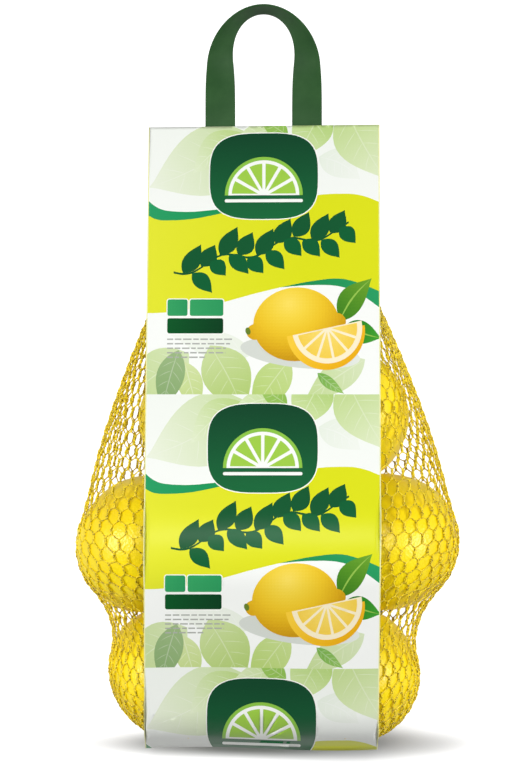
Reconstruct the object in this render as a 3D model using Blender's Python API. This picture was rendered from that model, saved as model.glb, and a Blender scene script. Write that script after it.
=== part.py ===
"""Net of lemons: a knitted net tube with seven lemons, held between two film bands, with a ribbon handle.

The pack lies on its back with its front up. +Y runs towards the handle, +Z is up, and the back
film band rests on z = 0. All lengths are in metres. The net and the fruit in it are one solid, net_bag:
the skin that a stretched net makes over the fruit.
"""

import math

import bpy
import numpy as np

# Sheets and clearances
FILM = 0.0004                 # thickness of each film band
SKIN = 0.0010                 # thickness of the knitted net over the fruit
GAP = 0.0003                  # air kept between neighbouring solids
BAND_CLEARANCE = 0.0007       # air between net and front band, whose facets cut inside its curve

# Fruit: seven lemons of one size, six on the back band round a raised one
LEMON_RADIUS = 0.0298
LEMON_FLOOR = FILM + GAP + SKIN + LEMON_RADIUS
LEMONS = (
    # x, y, rise above the others
    (-0.0267, -0.0174, 0.0),
    (0.0309, -0.0157, 0.0),
    (-0.0523, -0.0720, 0.0120),
    (0.0517, -0.0720, 0.0),
    (-0.0385, -0.1280, 0.0),
    (0.0345, -0.1287, 0.0),
    (0.0025, -0.0730, 0.0355),
)

# Net: from the flat bottom seam to the gathered neck under the top seal
SEAM_Y = -0.1595
SEAM_Z = 0.0230
SEAM_HALF_WIDTH = 0.0440
NECK_Y = 0.0970
NECK_HALF_WIDTH = 0.0085
NECK_HALF_DEPTH = 0.0022
END_HALF_DEPTH = 0.0008       # the seam is pressed flat
NET_CENTRE_X = -0.0020
RINGS = 62
RING_CROWDING = 0.65          # 0 spaces the rings evenly, 1 crowds them most towards the two ends
COLUMNS = 44
RELAX_PASSES = 2000
HOOP_TENSION = 0.32           # pull round the fruit, against 1 along the bag
HOOP_FADE = (-0.09, -0.04)    # where that pull fades out, as the net narrows to its neck
SIDE_SPREAD = 0.000028        # sideways push of the loose net that the two bands press flat
START_HALF_WIDTH = 0.0950     # the slack tube before it tightens
START_HALF_DEPTH = 0.0620
START_Z = 0.0560

# Film bands: front over the fruit, back on the table
BAND_WIDTH = 0.1012
BAND_TOP_Y = 0.1101
BAND_BOTTOM_Y = -0.1618
BAND_TOP_X = -0.0019          # the band's middle at its top end and its bottom end
BAND_BOTTOM_X = -0.0031
FRONT_TOP_Z = 0.0024          # underside of the front band at its top edge
FRONT_BOTTOM_Z = SEAM_Z + 0.0012
BACK_BOTTOM_Z = SEAM_Z - 0.0012
BAND_STEPS = 56

# Handle: one flat ribbon bent into an arch and twisted a quarter turn between its ends and its top
RIBBON_WIDTH = 0.0131
RIBBON_THICKNESS = 0.0008
HANDLE_X = -0.0021
HANDLE_HALF_SPAN = 0.0190
HANDLE_END_Y = 0.0960
TWIST_START_Y = 0.1125
ARCH_START_Y = 0.1370
HANDLE_TOP_Y = 0.1610
TOP_TWIST = math.radians(74.0)
RIBBON_REST_Z = FILM + GAP + RIBBON_THICKNESS / 2
LEG_STEPS = 16
ARCH_STEPS = 28

SMOOTH_ANGLE = math.radians(40.0)
TINY = 0.00001                # lengths under this count as nothing


def clear_scene():
    for item in list(bpy.data.objects):
        bpy.data.objects.remove(item, do_unlink=True)


def material(name, color, roughness, metallic=0.0):
    mat = bpy.data.materials.new(name)
    mat.use_nodes = True
    shader = mat.node_tree.nodes["Principled BSDF"]
    shader.inputs["Base Color"].default_value = (*color, 1.0)
    shader.inputs["Roughness"].default_value = roughness
    shader.inputs["Metallic"].default_value = metallic
    return mat


def add_object(name, vertices, faces, mat):
    """Make one closed object from its points and faces, with its faces pointing out."""
    mesh = bpy.data.meshes.new(name)
    mesh.from_pydata([tuple(float(v) for v in point) for point in vertices], [], faces)
    mesh.materials.append(mat)
    mesh.shade_smooth()
    mesh.set_sharp_from_angle(angle=SMOOTH_ANGLE)
    part = bpy.data.objects.new(name, mesh)
    bpy.context.scene.collection.objects.link(part)
    return part


def tube_faces(rings, columns):
    """Quads between neighbouring rings of a tube, and one flat face over each end."""
    faces = []
    for ring in range(rings - 1):
        for column in range(columns):
            after = (column + 1) % columns
            faces.append((
                ring * columns + column,
                (ring + 1) * columns + column,
                (ring + 1) * columns + after,
                ring * columns + after,
            ))
    faces.append(tuple(range(columns)))
    faces.append(tuple((rings - 1) * columns + column for column in reversed(range(columns))))
    return faces


# ------------------------------------------------------------------ net bag

def ring_stations():
    """Places of the rings along the bag, closer together towards its two ends."""
    share = np.linspace(0.0, 1.0, RINGS)
    crowded = 0.5 - 0.5 * np.cos(math.pi * share)
    eased = (1.0 - RING_CROWDING) * share + RING_CROWDING * crowded
    return SEAM_Y + (NECK_Y - SEAM_Y) * eased


def ellipse_ring(half_width, half_depth, centre_z):
    angle = np.linspace(0.0, 2.0 * math.pi, COLUMNS, endpoint=False)
    x = NET_CENTRE_X + half_width * np.cos(angle)
    z = centre_z + half_depth * np.sin(angle)
    return np.stack([x, z], axis=1)


def press_out_of_fruit(ring_points, y):
    """Move the points that are inside a lemon's section straight out to the net that lies on it."""
    for centre_x, centre_y, rise in LEMONS:
        reach = LEMON_RADIUS + SKIN
        chord = reach ** 2 - (y - centre_y) ** 2
        radius = np.sqrt(np.clip(chord, 0.0, None))[:, None]
        centre = np.array([centre_x, LEMON_FLOOR + rise])
        offset = ring_points - centre
        distance = np.linalg.norm(offset, axis=2)
        inside = distance < radius
        scale = np.where(inside, radius / np.maximum(distance, TINY), 1.0)
        ring_points = centre + offset * scale[:, :, None]
    return ring_points


def net_skin():
    """Tighten a slack tube over the fruit until it lies like a stretched net."""
    y = ring_stations()
    rings = np.array([ellipse_ring(START_HALF_WIDTH, START_HALF_DEPTH, START_Z)] * RINGS)
    rings[0] = ellipse_ring(SEAM_HALF_WIDTH, END_HALF_DEPTH, SEAM_Z)
    neck_z = FILM + GAP + NECK_HALF_DEPTH
    rings[-1] = ellipse_ring(NECK_HALF_WIDTH, NECK_HALF_DEPTH, neck_z)
    before = 1.0 / (y[1:-1] - y[:-2])
    after = 1.0 / (y[2:] - y[1:-1])
    weight_before = (before / (before + after))[:, None, None]
    weight_after = 1.0 - weight_before
    loose = np.clip((y[1:-1] - HOOP_FADE[0]) / (HOOP_FADE[1] - HOOP_FADE[0]), 0.0, 1.0)[:, None, None]
    tension = HOOP_TENSION * (1.0 - loose)
    spread = SIDE_SPREAD * loose * np.array([1.0, 0.0])
    for _ in range(RELAX_PASSES):
        inner = rings[1:-1]
        along = weight_before * rings[:-2] + weight_after * rings[2:]
        hoop = (np.roll(inner, 1, axis=1) + np.roll(inner, -1, axis=1)) / 2
        outward = inner - inner.mean(axis=1, keepdims=True)
        outward /= np.linalg.norm(outward, axis=2, keepdims=True)
        rings[1:-1] = (along + tension * hoop) / (1.0 + tension) + spread * outward
        rings[1:-1] = press_out_of_fruit(rings[1:-1], y[1:-1])
        rings[:, :, 1] = np.maximum(rings[:, :, 1], FILM + GAP)
    return y, rings


def add_net_bag(y, rings, mat):
    vertices = [
        (x, y[ring], z)
        for ring in range(RINGS)
        for x, z in rings[ring]
    ]
    return add_object("net_bag", vertices, tube_faces(RINGS, COLUMNS), mat)


# --------------------------------------------------------------- film bands

def taut_line(points, side):
    """The line that a taut sheet takes over the points: their hull on the upper (1) or lower (-1) side."""
    line = []
    for point in sorted(points):
        while len(line) >= 2:
            (y0, z0), (y1, z1) = line[-2], line[-1]
            turn = (y1 - y0) * (point[1] - z0) - (z1 - z0) * (point[0] - y0)
            if turn * side < 0.0:
                break
            line.pop()
        line.append(point)
    return line


def even_line(line, steps):
    """The same line with evenly spaced points."""
    line = np.array(line)
    run = np.concatenate([[0.0], np.cumsum(np.linalg.norm(np.diff(line, axis=0), axis=1))])
    at = np.linspace(0.0, run[-1], steps + 1)
    return np.stack([np.interp(at, run, line[:, 0]), np.interp(at, run, line[:, 1])], axis=1)


def offset_line(line, distance):
    """The line moved sideways by its own normal, to its left as it runs."""
    tangent = np.gradient(line, axis=0)
    tangent /= np.linalg.norm(tangent, axis=1)[:, None]
    normal = np.stack([-tangent[:, 1], tangent[:, 0]], axis=1)
    return line + distance * normal


def band_middle(y):
    share = (y - BAND_BOTTOM_Y) / (BAND_TOP_Y - BAND_BOTTOM_Y)
    return BAND_BOTTOM_X + (BAND_TOP_X - BAND_BOTTOM_X) * share


def add_band(name, inner, outer, mat):
    """A strip of film between its inner and outer line, each a list of (y, z)."""
    vertices = []
    for (inner_y, inner_z), (outer_y, outer_z) in zip(inner, outer):
        left = band_middle(inner_y) - BAND_WIDTH / 2
        right = band_middle(inner_y) + BAND_WIDTH / 2
        vertices.append((left, inner_y, inner_z))
        vertices.append((right, inner_y, inner_z))
        vertices.append((right, outer_y, outer_z))
        vertices.append((left, outer_y, outer_z))
    faces = tube_faces(len(inner), 4)
    return add_object(name, vertices, faces, mat)


def add_front_band(y, rings, mat):
    points = [(y[ring], rings[ring, :, 1].max() + BAND_CLEARANCE) for ring in range(RINGS)]
    points.append((BAND_BOTTOM_Y, FRONT_BOTTOM_Z))
    points.append((BAND_TOP_Y, FRONT_TOP_Z))
    inner = even_line(taut_line(points, 1), BAND_STEPS)
    return add_band("front_band", inner, offset_line(inner, FILM), mat)


def add_back_band(y, rings, mat):
    """The back band runs up from the table to the bottom seam; its flat stretch has one long face."""
    points = [(y[ring], rings[ring, :, 1].min() - GAP) for ring in range(RINGS)]
    points.append((BAND_BOTTOM_Y, BACK_BOTTOM_Z))
    points.append((BAND_TOP_Y, FILM))
    line = taut_line(points, -1)
    inner = [point for point in line if point[1] > FILM + TINY]
    first_flat = min(point[0] for point in line if point[1] <= FILM + TINY)
    inner = inner + [(first_flat, FILM), (BAND_TOP_Y, FILM)]
    outer = offset_line(np.array(inner), -FILM)
    outer[-2] = (first_flat, 0.0)
    outer[-1] = (BAND_TOP_Y, 0.0)
    return add_band("back_band", outer, inner, mat)


# ------------------------------------------------------------------- handle

def handle_route():
    """Points of the left half of the ribbon's middle line, from its end to the top: x, y and turn."""
    route = []
    for step in range(LEG_STEPS):
        share = step / LEG_STEPS
        y = HANDLE_END_Y + (ARCH_START_Y - HANDLE_END_Y) * share
        route.append((-HANDLE_HALF_SPAN, y, 0.0))
    rise = HANDLE_TOP_Y - ARCH_START_Y
    for step in range(ARCH_STEPS + 1):
        angle = 0.5 * math.pi * step / ARCH_STEPS
        x = -HANDLE_HALF_SPAN * math.cos(angle)
        y = ARCH_START_Y + rise * math.sin(angle)
        route.append((x, y, angle))
    return route


def ribbon_twist(run, run_start, run_end):
    """Turn of the ribbon's flat about its middle line: none in the seal, most at the arch's top."""
    share = min(max((run - run_start) / (run_end - run_start), 0.0), 1.0)
    return TOP_TWIST * (0.5 - 0.5 * math.cos(math.pi * share))


def add_handle(mat):
    half = handle_route()
    run = [0.0]
    for before, after in zip(half, half[1:]):
        run.append(run[-1] + math.dist(before[:2], after[:2]))
    run_start = TWIST_START_Y - HANDLE_END_Y
    sections = []
    for (x, y, angle), at in zip(half, run):
        twist = ribbon_twist(at, run_start, run[-1])
        outward = np.array([-math.cos(angle), math.sin(angle), 0.0])
        up = np.array([0.0, 0.0, 1.0])
        width = outward * math.cos(twist) + up * math.sin(twist)
        depth = up * math.cos(twist) - outward * math.sin(twist)
        middle_z = RIBBON_REST_Z + RIBBON_WIDTH / 2 * math.sin(twist)
        middle = np.array([x, y, middle_z])
        wide = width * RIBBON_WIDTH / 2
        thick = depth * RIBBON_THICKNESS / 2
        sections.append([middle - wide - thick, middle - wide + thick, middle + wide + thick, middle + wide - thick])
    mirror = np.array([-1.0, 1.0, 1.0])
    right = [[corner * mirror for corner in section] for section in reversed(sections[:-1])]
    shift = np.array([HANDLE_X, 0.0, 0.0])
    vertices = [corner + shift for section in sections + right for corner in section]
    return add_object("handle", vertices, tube_faces(len(sections) + len(right), 4), mat)


def main():
    clear_scene()
    net = material("net_yellow", (0.80, 0.58, 0.03), 0.55)
    front = material("film_front", (0.78, 0.82, 0.55), 0.35)
    back = material("film_back", (0.85, 0.87, 0.80), 0.35)
    ribbon = material("ribbon_green", (0.030, 0.076, 0.032), 0.45)
    y, rings = net_skin()
    add_net_bag(y, rings, net)
    add_front_band(y, rings, front)
    add_back_band(y, rings, back)
    add_handle(ribbon)


main()
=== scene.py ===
"""Looks of the net of lemons: real fruit, a real knitted net, printed film bands and the ribbon handle.

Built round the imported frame. The pack lies on its back, +Y towards the handle, +Z up; lengths are in metres.
"""
import math

import bmesh
import bpy
import numpy as np
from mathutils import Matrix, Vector, noise
from mathutils.geometry import delaunay_2d_cdt


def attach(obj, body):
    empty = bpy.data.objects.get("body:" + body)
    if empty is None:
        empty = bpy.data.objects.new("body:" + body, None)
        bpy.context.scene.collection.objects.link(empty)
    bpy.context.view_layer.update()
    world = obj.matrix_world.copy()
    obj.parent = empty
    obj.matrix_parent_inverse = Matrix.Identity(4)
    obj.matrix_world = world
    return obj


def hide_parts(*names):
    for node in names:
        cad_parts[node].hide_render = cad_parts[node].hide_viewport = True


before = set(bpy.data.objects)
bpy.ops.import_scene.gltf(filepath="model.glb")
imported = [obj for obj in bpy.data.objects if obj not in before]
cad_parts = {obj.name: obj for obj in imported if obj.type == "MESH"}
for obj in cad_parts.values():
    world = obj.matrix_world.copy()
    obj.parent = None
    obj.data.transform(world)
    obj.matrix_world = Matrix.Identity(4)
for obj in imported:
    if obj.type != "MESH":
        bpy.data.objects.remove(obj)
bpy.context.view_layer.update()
MM = 0.001
BODY = "root"

# Camera: straight above the pack, far enough for the long lens of a product picture
CAMERA_HEIGHT = 3.5
CAMERA_AT = (-0.0037, -0.0024)
SHARP_PLANE = 0.031           # height of the fruit's middle, where the view is VIEW_LENGTH long
VIEW_LENGTH = 0.3326
SENSOR = 36.0

# Fruit, as part.py lays it out
FILM = 0.0004
GAP = 0.0003
LEMON_FLOOR = 0.0315
NET_LIFT = 0.0006             # middle of the threads above the fruit's skin
LEMONS = (
    # x, y, rise, radius, half length, heading and lift of its blossom end in degrees
    (-0.0267, -0.0174, 0.0000, 0.0290, 0.0322, 60, 40),
    (0.0309, -0.0157, 0.0000, 0.0292, 0.0318, 130, 35),
    (-0.0518, -0.0720, 0.0120, 0.0294, 0.0325, 25, 38),
    (0.0515, -0.0720, 0.0000, 0.0296, 0.0322, 200, 44),
    (-0.0385, -0.1280, 0.0000, 0.0290, 0.0318, 330, 40),
    (0.0345, -0.1287, 0.0000, 0.0293, 0.0322, 160, 45),
    (0.0025, -0.0730, 0.0355, 0.0288, 0.0315, 80, 10),
)
LEMON_TURNS = 72
LEMON_STATIONS = 60
POLE_GAP = 0.006              # share of the fruit's length taken by the flat cap at each pole
PEEL_FULLNESS = 0.94          # under 1 makes the fruit fuller than an ellipsoid
NIPPLE_HEIGHT = 0.0042
NIPPLE_SHARE = 0.075          # how far the nipple and the neck reach along the fruit
NIPPLE_NARROWING = 0.10
NECK_DIP = 0.0006
NECK_SHARE = 0.07
LUMP = (1.6, 0.0008)          # fineness and height of the peel's lumps, dimples and fine dimples
DIMPLE = (9.0, 0.00022)
FINE_DIMPLE = (24.0, 0.00010)
STEM_TURNS = 20
STEM_SINK = 0.0004            # how deep the stem's foot sits in the peel
STEM_RINGS = ((0.0000, 0.0030), (0.0010, 0.0027), (0.0015, 0.0016), (0.0012, 0.0006))  # height, radius
STEM_POINTS = 5.0
STEM_POINT_REACH = 0.16

# Net
SEAM_Y = -0.1595
SEAM_Z = 0.0230
SEAM_HALF_WIDTH = 0.0440
NECK_Y = 0.0970
NECK_HALF_WIDTH = 0.0085
NECK_HALF_DEPTH = 0.0022
END_HALF_DEPTH = 0.0008
NET_CENTRE_X = -0.0020
HOOP_TENSION = 0.32
HOOP_FADE = (-0.0900, -0.0400)
SIDE_SPREAD = 0.000028
START_SIZE = (0.0950, 0.0620, 0.0560)  # half width, half depth and height of the loose net
SKIN_ROWS = 64                # grid on which the net's skin is first drawn tight
SKIN_COLUMNS = 44
EVEN_SHARE = 0.35             # how evenly the rows are spaced; the rest of them crowd at the ends
FIRST_PASSES = 1500
LAST_PASSES = 160
PRESS_STEP = 0.0012           # the longest push out of a lemon in one pass
SKIN_LEVELS = 400             # steps along the skin in the table that spaces the rows of cells
WALES = 76                    # knitted columns round the bag
COURSES = 51                  # rows of cells along it
STITCH_SHARE = 0.56           # part of a row taken by the thick knitted stretch
STITCH_STEPS = 6
TRAVEL_STEPS = 2
STITCH_RADIUS = 0.00039
TRAVEL_RADIUS = 0.00027
STITCH_SWING = 0.00040
TWIST_FLATNESS = 0.8          # depth of a twisted pair against its width
THREAD_SIDES = 4
WOBBLE_SIDE = 0.05            # unevenness of the knots, in cells
WOBBLE_ALONG = 0.06
WOBBLE_SEED = 7
END_ROW = 0.3                 # part of a row taken by the seam and by the neck
NET_PIECES = 4

# Film bands
BAND_WIDTH = 0.1012
BAND_TOP_Y = 0.1101
BAND_BOTTOM_Y = -0.1618
BAND_TOP_X = -0.0019
BAND_BOTTOM_X = -0.0031
FRONT_TOP_Z = 0.0024
FRONT_BOTTOM_Z = SEAM_Z + 0.0024
BACK_BOTTOM_Z = SEAM_Z - 0.0019
THREAD_CLEARANCE = 0.0017
SHEET = 0.00015
END_WAVE = 0.0009             # how far the cut bottom edge waves up and down, and over what length
END_WAVE_SPAN = 0.0182
END_WAVE_SHARE = 0.25         # part of the band's length in which the wave dies out
TOP_SLOPE = 0.012             # the top edge is cut a little out of square
TOP_SLOPE_SHARE = 0.2
EDGE_DROOP = 0.0012           # the front film's long edges hang a little lower than its middle
RIPPLE_HEIGHT = 0.0006
RIPPLE_ACROSS = 26.0          # fineness of the front film's ripples, across and along the band
RIPPLE_ALONG = 20.0

# Handle, as in part.py
RIBBON_WIDTH = 0.0131
RIBBON_THICKNESS = 0.0008
HANDLE_X = -0.0021
HANDLE_HALF_SPAN = 0.0190
HANDLE_END_Y = 0.0960
TWIST_START_Y = 0.1125
ARCH_START_Y = 0.1370
HANDLE_TOP_Y = 0.1610
TOP_TWIST = math.radians(74.0)
RIBBON_REST_Z = FILM + GAP + RIBBON_THICKNESS / 2
RIBBON_FLATNESS = 0.86        # thickness of the ribbon's flat part against its round edges
LEG_STEPS = 40
ARCH_STEPS = 60

# Print, in millimetres
PRINT_GRID = 1.4              # mesh of the film between the printed shapes
CUT_TOLERANCE = 0.0001
SLIVER = 0.00002              # triangles under this area, in square millimetres, are left out
REPEAT = 117.6                # length of one background
PICTURE_START = 1.3           # the pictures are printed a little further apart than the background
PICTURE_REPEAT = 118.3
INK_STRENGTH = 0.835          # share of the light that the whitest film gives back

# Light
FLOOR_GLOW = 1.0              # the floor's brightness seen from above, from the side, and as light
FLOOR_GLOW_ASIDE = 0.58
FLOOR_GLOW_ON_PACK = 0.40
ROOM_LIGHT = 0.15
SLANT = (0.05, 0.40)          # slant of the view between the look from above and from the side
# Painted shadows in the floor's glow, below the pack's bottom end and towards its right corner
BOTTOM_PAINTED_SHADOW = ((0.000, -0.1609), (0.110, 0.0085), 0.0)  # a soft spot: middle, half size, darkest value
CORNER_PAINTED_SHADOW = ((0.040, -0.1609), (0.068, 0.0135), 0.45)
SHADE_REACH = 0.7             # how far into a soft spot its darkest value starts
FLOOR_HALF_SIZE = 6.0
FLOOR_DROP = 0.0002
LIGHT_AIM = (0.0, -0.03, 0.03)
SOFTBOXES = (
    # name, place, size, power in watts
    ("left", (-2.1, -0.05, 1.25), (0.8, 0.9), 37.0),
    ("right", (2.1, -0.05, 1.25), (0.8, 0.9), 37.0),
    ("front", (0.0, 0.65, 2.9), (1.4, 0.7), 50.0),
)


def srgb(red, green, blue):
    """A linear colour from the 0 to 255 values a colour picker shows."""
    def channel(value):
        value /= 255.0
        return value / 12.92 if value <= 0.04045 else ((value + 0.055) / 1.055) ** 2.4
    return (channel(red), channel(green), channel(blue))


# ---- materials

def set_inputs(tree, node, **inputs):
    """Give a node's inputs plain values, or link them to the outputs of other nodes."""
    for name, value in inputs.items():
        socket = node.inputs[name.replace("_", " ")]
        if isinstance(value, bpy.types.NodeSocket):
            tree.links.new(value, socket)
        else:
            socket.default_value = value
    return node


def add_node(tree, kind, **inputs):
    return set_inputs(tree, tree.nodes.new(kind), **inputs)


def new_material(name, roughness, specular=0.5):
    """A material, its node tree and shader, and the place on the object for its textures."""
    mat = bpy.data.materials.new(name)
    mat.use_nodes = True
    tree = mat.node_tree
    shader = tree.nodes["Principled BSDF"]
    set_inputs(tree, shader, Roughness=roughness, Specular_IOR_Level=specular)
    return mat, tree, shader, tree.nodes.new("ShaderNodeTexCoord").outputs["Object"]


def noise_texture(tree, place, scale, detail):
    return add_node(tree, "ShaderNodeTexNoise", Scale=scale, Detail=detail, Vector=place).outputs["Fac"]


def ramp_colour(tree, shader, factor, stops):
    """Base colour by a factor, from stops of place and colour."""
    ramp = add_node(tree, "ShaderNodeValToRGB", Fac=factor)
    elements = ramp.color_ramp.elements
    for index, (position, colour) in enumerate(stops):
        element = elements[index] if index < 2 else elements.new(position)
        element.position = position
        element.color = (*colour, 1.0)
    set_inputs(tree, shader, Base_Color=ramp.outputs["Color"])


def add_bump(tree, shader, height, strength, distance):
    bump = add_node(tree, "ShaderNodeBump", Strength=strength, Distance=distance, Height=height)
    set_inputs(tree, shader, Normal=bump.outputs["Normal"])


def lemon_material():
    mat, tree, shader, place = new_material("lemon_peel", 0.34, 0.45)
    ramp_colour(tree, shader, noise_texture(tree, place, 38.0, 3.0), (
        (0.30, srgb(234, 204, 1)),
        (0.55, srgb(243, 217, 3)),
        (0.75, srgb(249, 226, 10)),
    ))
    pores = add_node(tree, "ShaderNodeTexVoronoi", Scale=900.0, Vector=place)
    add_bump(tree, shader, pores.outputs["Distance"], 0.35, 0.0004)
    return mat


def stem_material():
    mat, tree, shader, place = new_material("lemon_stem", 0.75)
    grain = noise_texture(tree, place, 700.0, 4.0)
    ramp_colour(tree, shader, grain, ((0.35, srgb(92, 98, 40)), (0.70, srgb(150, 140, 70))))
    return mat


def net_material():
    mat, tree, shader, place = new_material("net_thread", 0.42)
    # Painted shade and light: dark dots where the knitted loops shade the thread, lighter yellow between them
    loops = add_node(tree, "ShaderNodeTexVoronoi", Scale=1150.0, Vector=place)
    ramp_colour(tree, shader, loops.outputs["Distance"], (
        (0.24, srgb(138, 118, 18)),
        (0.42, srgb(222, 192, 14)),
        (0.70, srgb(246, 220, 26)),
    ))
    add_bump(tree, shader, noise_texture(tree, place, 4200.0, 2.0), 0.3, 0.0001)
    return mat


def film_material():
    """Film coloured by the print that is cut into its mesh."""
    mat, tree, shader, place = new_material("film_print", 0.42, 0.18)
    ink = tree.nodes.new("ShaderNodeAttribute")
    ink.attribute_name = "print"
    set_inputs(tree, shader, Base_Color=ink.outputs["Color"])
    add_bump(tree, shader, noise_texture(tree, place, 55.0, 2.0), 0.12, 0.002)
    return mat


def film_inside_material():
    mat, tree, shader, place = new_material("film_inside", 0.45)
    cloud = noise_texture(tree, place, 60.0, 2.0)
    ramp_colour(tree, shader, cloud, ((0.3, srgb(226, 230, 214)), (0.7, srgb(240, 243, 232))))
    return mat


def ribbon_material():
    mat, tree, shader, place = new_material("ribbon_green", 0.50, 0.08)
    cloud = noise_texture(tree, place, 90.0, 3.0)
    ramp_colour(tree, shader, cloud, ((0.30, srgb(38, 72, 38)), (0.70, srgb(48, 82, 46))))
    add_bump(tree, shader, noise_texture(tree, place, 2600.0, 2.0), 0.15, 0.0002)
    return mat


def painted_shadow_spot(tree, place, centre, half_size, darkest):
    """A painted shadow in the floor's glow: 1 away from an oval spot on the floor, falling to its darkest
    value in the middle.
    """
    fit = add_node(
        tree, "ShaderNodeMapping", Vector=place,
        Location=(-centre[0] / half_size[0], -centre[1] / half_size[1], 0.0),
        Scale=(1.0 / half_size[0], 1.0 / half_size[1], 0.0),
    )
    reach = add_node(tree, "ShaderNodeTexGradient", Vector=fit.outputs["Vector"])
    reach.gradient_type = "SPHERICAL"
    level = add_node(tree, "ShaderNodeMapRange", Value=reach.outputs["Fac"],
                     From_Max=SHADE_REACH, To_Min=1.0, To_Max=darkest)
    level.interpolation_type = "SMOOTHSTEP"
    return level.outputs["Result"]


def multiply(tree, first, second):
    product = tree.nodes.new("ShaderNodeMath")
    product.operation = "MULTIPLY"
    tree.links.new(first, product.inputs[0])
    tree.links.new(second, product.inputs[1])
    return product.outputs["Value"]


def seen_and_given(tree, seen, given):
    """A strength that is one value to the eye and another to the things it lights."""
    camera = tree.nodes.new("ShaderNodeLightPath").outputs["Is Camera Ray"]
    return add_node(tree, "ShaderNodeMapRange", Value=camera, To_Min=given, To_Max=seen).outputs["Result"]


def floor_material():
    """A bright white table that glows. From above it shows only a painted shadow at the pack's bottom end: two
    soft spots where its glow drops.
    """
    mat, tree, shader, place = new_material("floor_white", 0.9, 0.0)
    cloud = noise_texture(tree, place, 2.0, 1.0)
    ramp_colour(tree, shader, cloud, ((0.3, (0.36, 0.36, 0.36)), (0.7, (0.37, 0.37, 0.37))))
    # Painted shadow: the glow seen from above drops in these two soft spots
    above = multiply(tree, painted_shadow_spot(tree, place, *BOTTOM_PAINTED_SHADOW), painted_shadow_spot(tree, place, *CORNER_PAINTED_SHADOW))
    slant = tree.nodes.new("ShaderNodeLayerWeight").outputs["Facing"]
    aside = add_node(tree, "ShaderNodeMapRange", Value=slant, From_Min=SLANT[0], From_Max=SLANT[1])
    seen = add_node(tree, "ShaderNodeMix", Factor=aside.outputs["Result"], A=above, B=FLOOR_GLOW_ASIDE)
    glow = seen_and_given(tree, FLOOR_GLOW, FLOOR_GLOW_ON_PACK)
    set_inputs(tree, shader, Emission_Color=(1.0, 1.0, 1.0, 1.0),
               Emission_Strength=multiply(tree, seen.outputs["Result"], glow))
    return mat


# ---- mesh helpers

def turn_outward(mesh):
    """Make the faces of a closed mesh look outward."""
    work = bmesh.new()
    work.from_mesh(mesh)
    if work.calc_volume(signed=True) < 0.0:
        bmesh.ops.reverse_faces(work, faces=work.faces[:])
        work.to_mesh(mesh)
    work.free()


def mesh_object(name, vertices, faces, mat, closed=True):
    mesh = bpy.data.meshes.new(name)
    mesh.vertices.add(len(vertices))
    mesh.vertices.foreach_set("co", np.asarray(vertices, np.float32).ravel())
    sizes = np.fromiter((len(face) for face in faces), np.int32, len(faces))
    corners = np.fromiter((corner for face in faces for corner in face), np.int32, int(sizes.sum()))
    mesh.loops.add(len(corners))
    mesh.loops.foreach_set("vertex_index", corners)
    mesh.polygons.add(len(sizes))
    starts = np.concatenate([[0], np.cumsum(sizes)[:-1]]).astype(np.int32)
    mesh.polygons.foreach_set("loop_start", starts)
    mesh.update(calc_edges=True)
    mesh.validate()
    if closed:
        turn_outward(mesh)
    mesh.materials.append(mat)
    mesh.shade_smooth()
    thing = bpy.data.objects.new(name, mesh)
    bpy.context.scene.collection.objects.link(thing)
    return thing


def quad_grid_faces(rows, columns, closed):
    """Quads of a grid of points, rows by columns, joined round its columns if closed."""
    steps = columns if closed else columns - 1
    row, column = np.meshgrid(np.arange(rows - 1), np.arange(steps), indexing="ij")
    after = (column + 1) % columns
    quads = np.stack([
        row * columns + column,
        row * columns + after,
        (row + 1) * columns + after,
        (row + 1) * columns + column,
    ], axis=-1)
    return quads.reshape(-1, 4)


def tube_faces(rings, turns):
    """Faces of a tube of rings of points, with a flat cap at each end."""
    faces = [tuple(quad) for quad in quad_grid_faces(rings, turns, True)]
    faces.append(tuple(reversed(range(turns))))
    faces.append(tuple((rings - 1) * turns + turn for turn in range(turns)))
    return faces


# ---- fruit

def lemon_axis(heading, lift):
    heading, lift = math.radians(heading), math.radians(lift)
    return Vector((
        math.cos(lift) * math.cos(heading),
        math.cos(lift) * math.sin(heading),
        math.sin(lift),
    ))


def lemon_profile(along, radius, half_length):
    """Radius and height of the peel at a place from stem end (0) to blossom end (1)."""
    angle = math.pi * along
    wide = radius * math.sin(angle) ** PEEL_FULLNESS
    high = -half_length * math.cos(angle)
    nipple = math.exp(-((1.0 - along) / NIPPLE_SHARE) ** 2)
    neck = math.exp(-(along / NECK_SHARE) ** 2)
    high += nipple * NIPPLE_HEIGHT - neck * NECK_DIP
    wide *= 1.0 - NIPPLE_NARROWING * nipple
    return wide, high


def uneven(direction, seed, grain):
    fineness, height = grain
    return noise.noise(direction * fineness + seed) * height


def make_lemon(index, place, mats):
    x, y, rise, radius, half_length, heading, lift = place
    axis = lemon_axis(heading, lift)
    side = axis.orthogonal().normalized()
    front = axis.cross(side)
    centre = Vector((x, y, LEMON_FLOOR + rise))
    seed = Vector((3.1 * index, 1.7 * index, 9.2))
    vertices = []
    for station in range(LEMON_STATIONS + 1):
        along = POLE_GAP + (1.0 - 2.0 * POLE_GAP) * station / LEMON_STATIONS
        wide, high = lemon_profile(along, radius, half_length)
        for turn in range(LEMON_TURNS):
            angle = 2.0 * math.pi * turn / LEMON_TURNS
            way = side * math.cos(angle) + front * math.sin(angle)
            point = way * wide + axis * high
            direction = point.normalized()
            lump = uneven(direction, seed, LUMP)
            dimple = uneven(direction, seed, DIMPLE) + uneven(direction, seed, FINE_DIMPLE)
            vertices.append(centre + point + direction * (lump + dimple))
    faces = tube_faces(LEMON_STATIONS + 1, LEMON_TURNS)
    peel = mesh_object(f"lemon_{index}", vertices, faces, mats["lemon"])
    stem = make_stem(index, centre - axis * (half_length - STEM_SINK), -axis, mats["stem"])
    return [peel, stem]


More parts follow.
